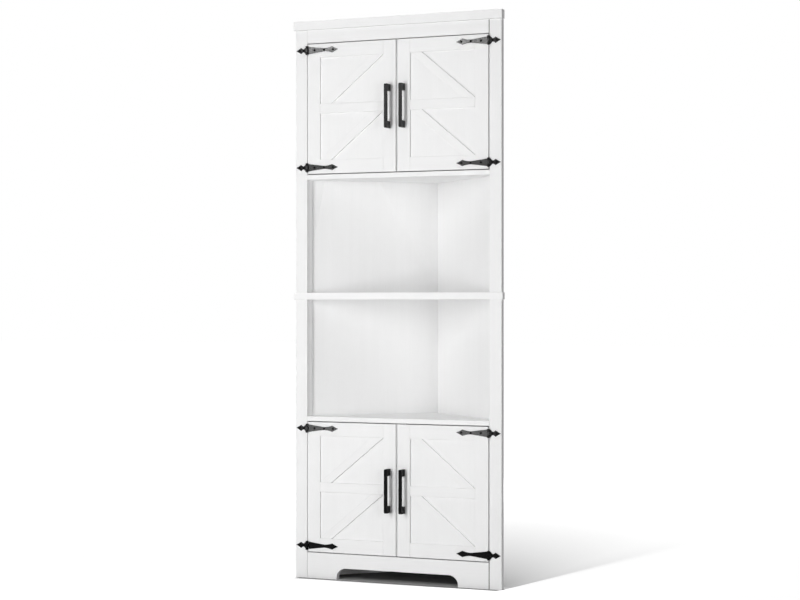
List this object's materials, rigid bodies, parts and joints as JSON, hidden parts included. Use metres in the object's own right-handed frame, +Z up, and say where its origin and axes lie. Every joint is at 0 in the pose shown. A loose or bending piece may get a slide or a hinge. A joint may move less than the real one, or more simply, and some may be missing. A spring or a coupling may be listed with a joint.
{
  "type": "corner cupboard",
  "caption": "Tall triangular corner cupboard with paired battened doors above and below, open shelves between them, black strap hinges and bow handles.",
  "frame": {"origin": "on the floor, under the centre of the object's bounding box, handles included", "axes": "+Z up; -Y out of the front, towards the person who opens the doors; +Y into the corner of the room; +X to that person's right"},
  "size_m": [0.718, 0.4064, 1.8],
  "materials": {
    "white_laminate": "white laminated board with a faint pressed grain, satin",
    "black_steel": "black powder coat, satin",
    "catch_plastic": "moulded, matte"
  },
  "bodies": {
    "carcass": {"bottom_board": "white_laminate", "lower_deck": "white_laminate", "middle_shelf": "white_laminate", "upper_floor": "white_laminate", "top_cap": "white_laminate", "header_rail": "white_laminate", "base_apron": "white_laminate", "lower_loose_shelf": "white_laminate", "upper_loose_shelf": "white_laminate", "lower_left_stile": "white_laminate", "lower_left_wall_panel": "white_laminate", "lower_left_corner_block": "white_laminate", "lower_right_stile": "white_laminate", "lower_right_wall_panel": "white_laminate", "lower_right_corner_block": "white_laminate", "upper_left_stile": "white_laminate", "upper_left_wall_panel": "white_laminate", "upper_left_corner_block": "white_laminate", "upper_right_stile": "white_laminate", "upper_right_wall_panel": "white_laminate", "upper_right_corner_block": "white_laminate", "lower_magnetic_catch": "catch_plastic", "upper_magnetic_catch": "catch_plastic", "lower_left_top_hinge_stile_leaf": "black_steel", "lower_left_top_hinge_pin": "black_steel", "lower_left_bottom_hinge_stile_leaf": "black_steel", "lower_left_bottom_hinge_pin": "black_steel", "lower_right_top_hinge_stile_leaf": "black_steel", "lower_right_top_hinge_pin": "black_steel", "lower_right_bottom_hinge_stile_leaf": "black_steel", "lower_right_bottom_hinge_pin": "black_steel", "upper_left_top_hinge_stile_leaf": "black_steel", "upper_left_top_hinge_pin": "black_steel", "upper_left_bottom_hinge_stile_leaf": "black_steel", "upper_left_bottom_hinge_pin": "black_steel", "upper_right_top_hinge_stile_leaf": "black_steel", "upper_right_top_hinge_pin": "black_steel", "upper_right_bottom_hinge_stile_leaf": "black_steel", "upper_right_bottom_hinge_pin": "black_steel"},
    "lower_left_door": {"lower_left_door_slab": "white_laminate", "lower_left_door_battens": "white_laminate", "lower_left_handle": "black_steel", "lower_left_top_hinge_door_leaf": "black_steel", "lower_left_bottom_hinge_door_leaf": "black_steel"},
    "lower_right_door": {"lower_right_door_slab": "white_laminate", "lower_right_door_battens": "white_laminate", "lower_right_handle": "black_steel", "lower_right_top_hinge_door_leaf": "black_steel", "lower_right_bottom_hinge_door_leaf": "black_steel"},
    "upper_left_door": {"upper_left_door_slab": "white_laminate", "upper_left_door_battens": "white_laminate", "upper_left_handle": "black_steel", "upper_left_top_hinge_door_leaf": "black_steel", "upper_left_bottom_hinge_door_leaf": "black_steel"},
    "upper_right_door": {"upper_right_door_slab": "white_laminate", "upper_right_door_battens": "white_laminate", "upper_right_handle": "black_steel", "upper_right_top_hinge_door_leaf": "black_steel", "upper_right_bottom_hinge_door_leaf": "black_steel"}
  },
  "joints": [
    {"name": "lower_left_door_hinge", "type": "hinge", "parent": "carcass", "child": "lower_left_door", "pos_m": [-0.3125, -0.17565, 0.2955], "axis": [0, 0, -1], "range_deg": [0, 130]},
    {"name": "lower_right_door_hinge", "type": "hinge", "parent": "carcass", "child": "lower_right_door", "pos_m": [0.3125, -0.17565, 0.2955], "axis": [0, 0, 1], "range_deg": [0, 130]},
    {"name": "upper_left_door_hinge", "type": "hinge", "parent": "carcass", "child": "upper_left_door", "pos_m": [-0.3125, -0.17565, 1.5165], "axis": [0, 0, -1], "range_deg": [0, 130]},
    {"name": "upper_right_door_hinge", "type": "hinge", "parent": "carcass", "child": "upper_right_door", "pos_m": [0.3125, -0.17565, 1.5165], "axis": [0, 0, 1], "range_deg": [0, 130]}
  ]
}
